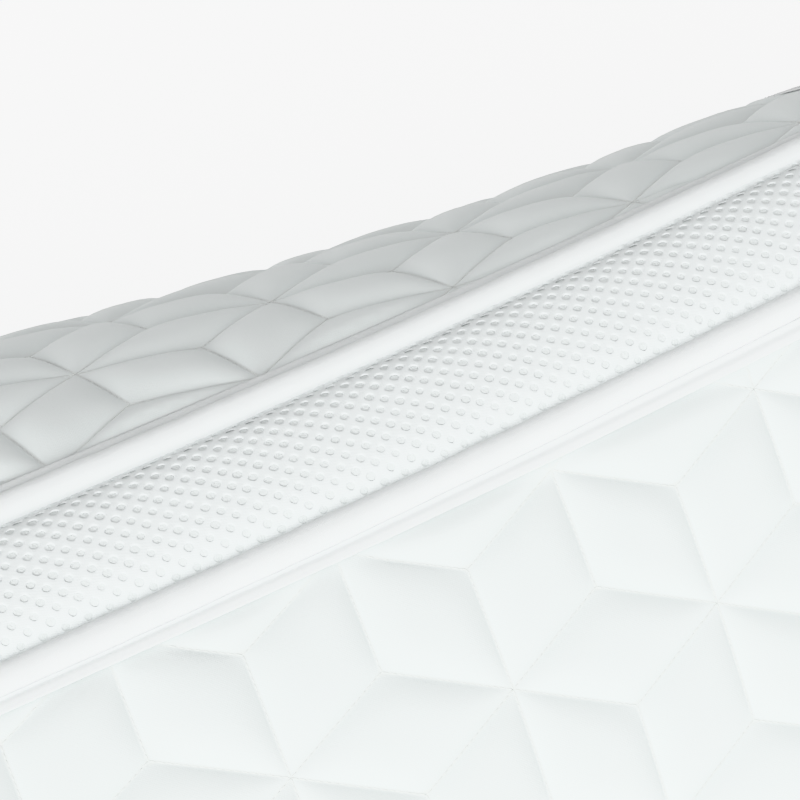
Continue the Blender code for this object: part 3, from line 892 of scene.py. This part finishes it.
def make_binding(hand, side):
    """The binding folded over the panel's front, lower and rear edges."""
    body = hand + "_panel"
    path = edge_path(0.002)
    y, drop, turn = path.T
    middle = panel_place(y, drop, 0 * y, side)
    run = run_along(middle)
    forward, down, out = panel_axes(y, np.maximum(drop, 0.002), side)
    away = forward * np.cos(turn)[:, None] + down * np.sin(turn)[:, None]
    _, radius, _ = panel_arc(y)

    def place(u, row, layer):
        k = np.searchsorted(run, u - 1e-9)
        along, up = wrap_section(row, layer, GRIP, BINDING_THICKNESS, BINDING_LEG)
        pucker = ripple(u, row * 0.02, 0.016, 60 + side) * 0.00010
        pucker = pucker + ripple(u, row * 0.02, 0.05, 61 + side) * 0.00012
        up = up + np.sign(up) * pucker
        bend = -((along * np.sin(turn[k])) ** 2) / 2 / radius[k]
        return middle[k] + away[k] * along[:, None] + out[k] * (up + bend)[:, None]

    binding = grid_solid("edge_binding_cloth_" + hand, run, FOLD_ROWS, place, body, BINDING)
    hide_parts("edge_binding_" + hand)
    runs = []
    for face in (1, -1):
        inset = BINDING_LEG - BINDING_STITCH_INSET
        bend = (inset * np.sin(turn)) ** 2 / 2 / radius
        line = middle - away * inset + out * (face * (GRIP + BINDING_THICKNESS + 0.00012) - bend)[:, None]
        runs.append(seam_stitches(line[4:-4], out[4:-4] * face, *BINDING_STITCH))
    thread = stitches("edge_binding_thread_" + hand, *join_runs(runs), body)


# ---- webbing --------------------------------------------------------------------------------------


def box_stitch(corners, outs):
    """Stitches round a box and across its two diagonals, from its four corners."""
    runs = []
    for one, two in ((0, 1), (1, 2), (2, 3), (3, 0), (0, 2), (1, 3)):
        path = np.linspace(corners[one], corners[two], 12)
        runs.append(seam_stitches(path, np.tile(outs, (12, 1)), *SEAM_STITCH))
    return join_runs(runs)


def make_girth_loop(hand, side):
    """The webbing band that the girth passes behind."""
    body = hand + "_panel"
    drop = float(panel_arc(0.0)[2]) - LOOP_ABOVE_EDGE
    half = LOOP_GIRTH_WIDTH / 2
    foot = half + LOOP_RAMP
    end = foot + LOOP_SEWN_END
    forward, down, out = (v[0] for v in panel_axes(np.zeros(1), np.full(1, drop), side))
    middle = panel_place(0.0, drop, WEBBING_BASE + LOOP_GIRTH_DEPTH, side)

    def place(u, v, layer):
        on_panel = panel_place(u, drop + v, WEBBING_BASE - 0.0002 + layer * WEBBING_THICKNESS, side)
        band = middle + forward * u[:, None] + down * v[:, None] + out * (layer * WEBBING_THICKNESS)
        share = smooth(np.abs(u), half - 0.003, foot + 0.003)[:, None]
        sag = ripple(u, v, 0.06, 70 + side)[:, None] * 0.0003 * out
        return band * (1 - share) + on_panel * share + sag * (1 - share)

    us = np.linspace(-end, end, 121)
    vs = np.linspace(-LOOP_WEBBING_WIDTH / 2, LOOP_WEBBING_WIDTH / 2, 17)
    loop = grid_solid("girth_loop_webbing_" + hand, us, vs, place, body, WEBBING)
    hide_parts("girth_loop_" + hand)
    runs = []
    for way in (1, -1):
        inner, outer_end = way * (foot + 0.004), way * (end - 0.003)
        edge = LOOP_WEBBING_WIDTH / 2 - WEBBING_STITCH_INSET
        box = [(inner, -edge), (outer_end, -edge), (outer_end, edge), (inner, edge)]
        lift = WEBBING_BASE + WEBBING_THICKNESS
        corners = np.array([panel_place(a, drop + b, lift, side) for a, b in box])
        runs.append(box_stitch(corners, out))
    thread = stitches("girth_loop_thread_" + hand, *join_runs(runs), body, 0.00028, 0.0003)


def strap_strip(name, hand, side, width, drops, heights, thickness, body, material):
    """A strip lying along the panel, with its inner face at the given heights."""

    def place(u, v, layer):
        height = np.interp(-u, -np.asarray(drops), heights)
        return panel_place(STRAP_Y + v, u, WEBBING_BASE - CLEARANCE + height + layer * thickness, side)

    fine = np.linspace(drops[0], drops[-1], max(9, int(abs(drops[0] - drops[-1]) / 0.0025)))
    us = np.linspace(-width / 2, width / 2, 13)
    return grid_solid(name + hand, fine, us, place, body, material)


def make_billet_strap(hand, side):
    """The strap's sewn end on the panel, its tab that folds over, and their two patches and threads."""
    panel, strap = hand + "_panel", hand + "_strap"
    tab_height = 2 * PATCH_THICKNESS + 3 * CLEARANCE
    sewn = STRAP_FOLD_DROP + CLEARANCE
    strip = (hand, side, STRAP_WIDTH)
    drops = (sewn + STRAP_SEWN_LENGTH, sewn)
    heights = (CLEARANCE, CLEARANCE)
    name = "billet_strap_base_webbing_"
    base = strap_strip(name, *strip, drops, heights, WEBBING_THICKNESS, panel, WEBBING)
    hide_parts("billet_strap_base_" + hand)
    low = STRAP_FOLD_DROP - STRAP_FOLD_GAP
    ramp = np.linspace(0, 1, 9)
    drops = [*(low - STRAP_RAMP * ramp), low - STRAP_TAB_LENGTH]
    heights = [*(CLEARANCE + (tab_height - CLEARANCE) * ramp), tab_height]
    name = "billet_strap_tab_webbing_"
    tab = strap_strip(name, *strip, drops, heights, WEBBING_THICKNESS, strap, WEBBING)
    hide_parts("billet_strap_tab_" + hand)
    start = STRAP_FOLD_DROP - PATCH_START
    ends = (start, start - PATCH_LENGTH)
    hook_height = PATCH_THICKNESS + 2 * CLEARANCE
    for name, height, body in (("loop_patch_", CLEARANCE, panel), ("hook_patch_", hook_height, strap)):
        heights = (height, height)
        strip = (hand, side, PATCH_WIDTH, ends, heights, PATCH_THICKNESS, body, PILE)
        patch = strap_strip(name + "pile_", *strip)
        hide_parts(name + hand)
    base_box = (sewn + WEBBING_STITCH_INSET, sewn + STRAP_SEWN_LENGTH - WEBBING_STITCH_INSET)
    tab_box = (start - 0.002, start - PATCH_LENGTH + 0.002)
    for name, body, lift, box in (
        ("billet_strap_thread_", panel, WEBBING_THICKNESS, base_box),
        ("billet_tab_thread_", strap, tab_height + WEBBING_THICKNESS, tab_box),
    ):
        edge = STRAP_WIDTH / 2 - WEBBING_STITCH_INSET
        places = [(-edge, box[0]), (edge, box[0]), (edge, box[1]), (-edge, box[1])]
        runs = []
        for one, two in ((0, 1), (1, 2), (2, 3), (3, 0)):
            a = np.linspace(places[one][0], places[two][0], 16)
            b = np.linspace(places[one][1], places[two][1], 16)
            path = panel_place(STRAP_Y + a, b, WEBBING_BASE + lift, side)
            outs = panel_axes(STRAP_Y + a, b, side)[2]
            runs.append(seam_stitches(path, outs, *SEAM_STITCH))
        thread = stitches(name + hand, *join_runs(runs), body, 0.0002, 0.00008)


# ---- the spine ------------------------------------------------------------------------------------

MESH_STEPS = np.linspace(-PANEL_END_Y, PANEL_END_Y, 240)


def knit_top(across):
    """Height of the mesh's upper face: nearly level, then rolled down into the seams."""
    return MESH_THICKNESS / 2 - MESH_ROLL_DEPTH * np.abs(across / MESH_ROLL_REACH) ** 6


def knit_wave(y, across):
    """The knit's slight unevenness."""
    return ripple(y, across, 0.03, 90) * 0.00012


def mesh_underside(across, below):
    """Height of the mesh's lower face, or of a cloth this far below it: it rises into the seams."""
    return -MESH_THICKNESS / 2 - below + 0.0018 * np.abs(across / (MESH_WIDTH / 2)) ** 4


def knit_cells(low, high):
    """Flat knit between two distances from the middle, open at its staggered holes.

    Its points are (y, across, depth), and each hole has a six-sided cell of knit round it.
    """
    half_y, half_x = HOLE_PITCH_Y / 2, HOLE_PITCH_X / 2
    reach = (half_y**2 + half_x**2) / 2
    tip = reach / half_y
    shoulder = (reach - half_x * half_x) / half_y
    corners = [(tip, 0), (shoulder, half_x), (-shoulder, half_x), (-tip, 0), (-shoulder, -half_x)]
    corners = np.array([*corners, (shoulder, -half_x)])
    outline = []
    for k, (corner, after) in enumerate(zip(corners, np.roll(corners, -1, axis=0))):
        parts = 1 if k in (1, 4) else (3)
        outline += [corner + (after - corner) * t / parts for t in range(parts)]
    outline = np.array(outline)
    n = len(outline)
    angle = np.arctan2(outline[:, 1], outline[:, 0])
    rim = np.stack([np.cos(angle) * HOLE_RADIUS * 1.06, np.sin(angle) * HOLE_RADIUS * 0.94], -1)
    # each ring: share of the way from the hole's rim to the cell's edge, and depth under the surface
    rings = [(1.0, 0.0), (0.5, 0.00002), (0.22, 0.00008), (0.05, 0.00020), (0.0, KNIT_DEPTH)]
    rows = int(PANEL_END_Y / half_y) + 2
    staggered = [(i, j) for i in range(-rows, rows + 1) for j in range(-9, 10) if (i + j) % 2 == 0]
    wanted = [(i, j) for i, j in staggered if low - half_x < j * half_x < high + half_x]
    centres = np.array([(i * half_y, j * half_x) for i, j in wanted])
    chance = np.random.default_rng(11)
    shift = chance.normal(0, 0.00010, centres.shape)
    swell = chance.normal(1, 0.06, len(centres)).clip(0.84, 1.18)
    points = []
    for k, centre in enumerate(centres):
        hole = rim * swell[k] + shift[k]
        for share, depth in rings:
            points.append(np.column_stack([centre + hole + (outline - hole) * share, np.full(n, depth)]))
    here = np.arange(n)
    after = (here + 1) % n
    wall = np.stack([here, after, after + n, here + n], -1)
    one_cell = np.concatenate([wall + r * n for r in range(len(rings) - 1)])
    faces = (one_cell[None] + (np.arange(len(centres)) * n * len(rings))[:, None, None]).reshape(-1, 4)
    points, faces = shared_corners(np.concatenate(points), faces, 2e6)
    shape = bmesh.new()
    made = [shape.verts.new((y, across, -depth)) for y, across, depth in points]
    for face in faces.tolist():
        if len(set(face)) == 4:
            try:
                shape.faces.new([made[k] for k in face])
            except ValueError:
                continue
    cuts = [((PANEL_END_Y, 0), (1, 0)), ((-PANEL_END_Y, 0), (-1, 0))]
    cuts += [((0, high), (0, 1)), ((0, low), (0, -1))]
    trim(shape, cuts, 1e-7)
    bmesh.ops.recalc_face_normals(shape, faces=shape.faces[:])
    shape.verts.index_update()
    flat = np.array([v.co[:] for v in shape.verts])
    faces = [[v.index for v in face.verts] for face in shape.faces]
    shape.free()
    return flat, faces


def knit_object(name, flat, placed, faces, body):
    """The flat knit's faces at their places on the pad."""
    return make_object(name, placed, faces, body, KNIT, {"cloth": flat[np.concatenate(faces)][:, :2]})


def make_spine_mesh():
    """The upper knit of the spacer mesh over its yarn core, and its backing underneath."""
    flat, faces = knit_cells(-KNIT_CUT, KNIT_CUT)
    y, across, depth = flat.T
    placed = spine_place(y, across, knit_top(across) + depth + knit_wave(y, across))
    face_knit = knit_object("spine_mesh_knit", flat, placed, faces, "spine")
    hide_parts("spine_mesh")
    xs = np.linspace(-CORE_HALF_WIDTH, CORE_HALF_WIDTH, 21)

    def core(u, v, layer):
        top = knit_top(v) - KNIT_DEPTH - 0.00005
        low = np.minimum(mesh_underside(v, -0.0002), top - 0.0003)
        return spine_place(u, v, np.where(layer > 0, top, low))

    filling = grid_solid("spine_mesh_core", MESH_STEPS, xs, core, "spine", CORE)

    def backing(u, v, layer):
        tuck = 0.00012 * ripple(u, v, 0.02, 91)
        return spine_place(u, v, mesh_underside(v, BACKING_BELOW) + tuck - BACKING_THICKNESS * (1 - layer))

    xs = np.linspace(-BACKING_WIDTH / 2, BACKING_WIDTH / 2, 19)
    back = grid_solid("spine_backing_knit", MESH_STEPS, xs, backing, "spine", LINING)
    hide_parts("spine_backing")


def make_spine_binding(name, end):
    """The binding folded over one end of the mesh."""
    us = np.linspace(-MESH_WIDTH / 2, MESH_WIDTH / 2, 41)

    def place(u, row, layer):
        top = knit_top(u) + CLEARANCE
        low = mesh_underside(u, BACKING_BELOW) - BACKING_THICKNESS - CLEARANCE
        half, middle = (top - low) / 2, (top + low) / 2
        out, up = wrap_section(row, layer, half, BINDING_THICKNESS, BINDING_LEG)
        up = up + np.sign(up) * ripple(u, row * 0.02, 0.014, 95) * 0.00008
        return spine_place(end * (PANEL_END_Y + np.minimum(out, BINDING_REACH)), u, middle + up)

    binding = grid_solid(name + "_cloth", us, FOLD_ROWS, place, "spine", BINDING)
    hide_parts(name)
    x = np.linspace(-MESH_WIDTH / 2 + 0.001, MESH_WIDTH / 2 - 0.001, 40)
    y = np.full(len(x), end * (PANEL_END_Y - BINDING_LEG + BINDING_STITCH_INSET))
    path = spine_place(y, x, knit_top(x) + CLEARANCE + BINDING_THICKNESS + 0.0001)
    outs = unit(spine_place(y, x, 0.01) - spine_place(y, x, 0.0))
    thread = stitches(name + "_thread", *seam_stitches(path, outs, *BINDING_STITCH), "spine")


def rolled_edge(u, across, side):
    """Where the knit's edge lies as it rolls from the spine down under the seam tape."""
    share = (np.abs(across) - KNIT_CUT) / (KNIT_REACH - KNIT_CUT)
    level = side * (KNIT_CUT + 0.0022 * np.minimum(share * 1.7, 1))
    near = spine_place(u, level, knit_top(level) + knit_wave(u, across))
    tucked = panel_place(u, *KNIT_SEWN, side)
    pull = smooth(share, 0.45, 1.0)[:, None]
    return near * (1 - pull) + tucked * pull


def blend_over_fold(piece):
    """Bakes a piece's placement into its points; the piece is attached to neither the spine nor a panel."""
    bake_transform(piece)


def make_seam_web(hand, side):
    """The mesh's edge, rolled down and sewn in under the seam tape: it bridges the fold line."""
    low, high = sorted((side * KNIT_CUT, side * KNIT_REACH))
    flat, faces = knit_cells(low, high)
    placed = rolled_edge(flat[:, 0], flat[:, 1], side)
    placed[:, 2] += flat[:, 2]
    web = knit_object("mesh_seam_edge_" + hand, flat, placed, faces, None)

    def under(u, v, layer):
        return rolled_edge(u, v, side) - np.array([0, 0, KNIT_DEPTH + 0.0001 + 0.0005 * (1 - layer)])

    xs = np.linspace(low, high, 9)
    yarn = grid_solid("mesh_seam_yarn_" + hand, MESH_STEPS, xs, under, None, CORE)
    for cloth in (web, yarn):
        blend_over_fold(cloth)


def make_binding_bridge(hand, side, place_name, end):
    """The binding runs on over the fold line, from the mesh's end to the panel's edge."""

    def place(u, row, layer):
        half_near = (knit_top(MESH_WIDTH / 2) + 0.0018 + BACKING_THICKNESS + 2 * CLEARANCE) / 2
        half = half_near + (GRIP - half_near) * u
        out, up = wrap_section(row, layer, half, BINDING_THICKNESS * 0.9, BINDING_LEG - 0.0003)
        y = end * (PANEL_END_Y + out)
        near = spine_place(y, side * CORE_HALF_WIDTH, up)
        far = panel_place(y, -SEWN_UNDER + 0.0006, up, side)
        return near * (1 - u[:, None]) + far * u[:, None]

    name = f"binding_fold_{place_name}_{hand}"
    bridge = grid_solid(name, np.linspace(0, 1, 9), FOLD_ROWS, place, None, BINDING)
    blend_over_fold(bridge)


# ---- building -------------------------------------------------------------------------------------

make_spine_mesh()
make_spine_binding("spine_binding_front", 1)
make_spine_binding("spine_binding_rear", -1)
for hand, side in SIDES:
    make_panel(hand, side)
    make_tape(hand, side)
    make_binding(hand, side)
    make_girth_loop(hand, side)
    make_billet_strap(hand, side)
    make_seam_web(hand, side)
    make_binding_bridge(hand, side, "front", 1)
    make_binding_bridge(hand, side, "rear", -1)

# ---- floor, light and camera ----------------------------------------------------------------------


FLOOR_REACH = 6
FLOOR_GLOW = 0.7
WORLD_STRENGTH = 0.53


def make_floor():
    data = bpy.data.meshes.new("floor")
    corners = [(x * FLOOR_REACH, y * FLOOR_REACH, 0) for x, y in ((-1, -1), (1, -1), (1, 1), (-1, 1))]
    data.from_pydata(corners, [], [(0, 1, 2, 3)])
    floor = bpy.data.objects.new("floor", data)
    bpy.context.scene.collection.objects.link(floor)
    f = Finish("floor_pale", roughness=0.9)
    f.shader.inputs["Base Color"].default_value = (0.96, 0.96, 0.96, 1)
    f.shader.inputs["Emission Color"].default_value = (1, 1, 1, 1)
    f.shader.inputs["Emission Strength"].default_value = FLOOR_GLOW
    data.materials.append(f.material)


def softbox(name, place, target, size, power):
    lamp = bpy.data.lights.new(name, "AREA")
    lamp.shape = "DISK"
    lamp.size = size
    lamp.energy = power
    made = bpy.data.objects.new(name, lamp)
    bpy.context.scene.collection.objects.link(made)
    made.location = place
    made.rotation_euler = (Vector(target) - Vector(place)).to_track_quat("-Z", "Y").to_euler()


CAMERA_AZIMUTH = math.radians(59)
CAMERA_ELEVATION = math.radians(50)
CAMERA_DISTANCE = 0.94
FOCAL_LENGTH = 112.5


def make_camera():
    data = bpy.data.cameras.new("camera")
    data.sensor_width = 36
    data.lens = FOCAL_LENGTH
    data.clip_start = 0.01
    camera = bpy.data.objects.new("camera", data)
    bpy.context.scene.collection.objects.link(camera)
    back = Vector((
        math.sin(CAMERA_AZIMUTH) * math.cos(CAMERA_ELEVATION),
        -math.cos(CAMERA_AZIMUTH) * math.cos(CAMERA_ELEVATION),
        math.sin(CAMERA_ELEVATION),
    ))
    target = Vector(spine_place(0.0, 0.0, 0.003).tolist())
    camera.location = target + back * CAMERA_DISTANCE
    camera.rotation_euler = back.to_track_quat("Z", "Y").to_euler()
    bpy.context.scene.camera = camera


make_floor()
softbox("key_softbox", (1.59, -1.17, 1.63), (0.1, 0, 0.3), 1.8, 56)
make_camera()

world = bpy.data.worlds.new("studio")
bpy.context.scene.world = world
world.use_nodes = True
world.node_tree.nodes["Background"].inputs["Color"].default_value = (1, 1, 1, 1)
world.node_tree.nodes["Background"].inputs["Strength"].default_value = WORLD_STRENGTH
bpy.context.scene.view_settings.view_transform = "Khronos PBR Neutral"
